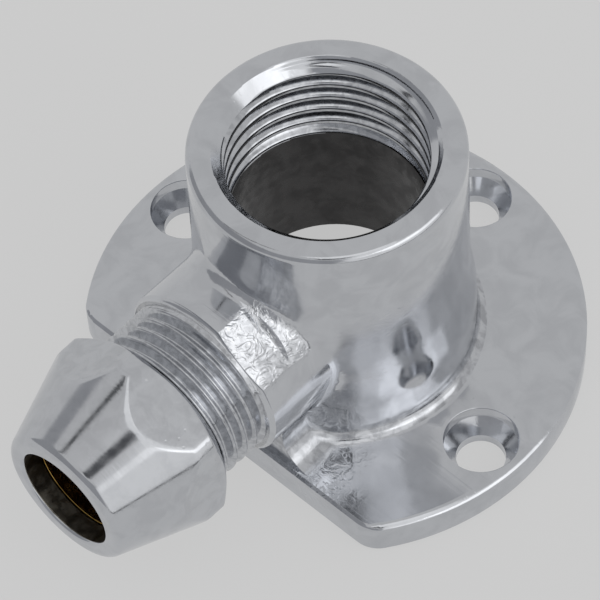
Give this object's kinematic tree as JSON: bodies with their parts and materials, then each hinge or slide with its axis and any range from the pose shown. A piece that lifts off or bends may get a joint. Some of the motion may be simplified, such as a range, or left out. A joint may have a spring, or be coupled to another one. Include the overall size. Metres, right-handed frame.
{
  "type": "wall plate elbow",
  "caption": "Wall-mounted pipe elbow: round screw-down plate, upright barrel with a female pipe thread, and a side neck with a compression nut and olive for a small pipe.",
  "frame": {"origin": "centre of the barrel's bore in the plate's wall face", "axes": "+Z along the barrel's bore, away from the wall; the side neck points along -Y; +X to the right, seen from the neck's end with the barrel up, so the plane X = 0 halves the casting"},
  "size_m": [0.049, 0.0608, 0.0312],
  "materials": {
    "chrome_casting": "chrome plated over cast and turned brass, lightly scratched",
    "chrome_nut": "chrome plated over turned brass with fine turning marks",
    "brass_olive": "plain turned brass"
  },
  "bodies": {
    "fitting": {"elbow_body": "chrome_casting"},
    "olive_body": {"olive": "brass_olive"},
    "nut_body": {"compression_nut": "chrome_nut"}
  },
  "joints": [
    {"name": "olive_slide", "type": "slide", "parent": "fitting", "child": "olive_body", "axis": [0, -1, 0], "range_m": [0, 0.0047]},
    {"name": "nut_turn", "type": "hinge", "parent": "olive_body", "child": "nut_body", "pos_m": [0, -0.03, 0.0139], "axis": [0, -1, 0], "range_deg": [0, 1260]}
  ],
  "couplings": [
    {"joint": "olive_slide", "follows": "nut_turn", "m_per_rad": 0.00021279}
  ]
}
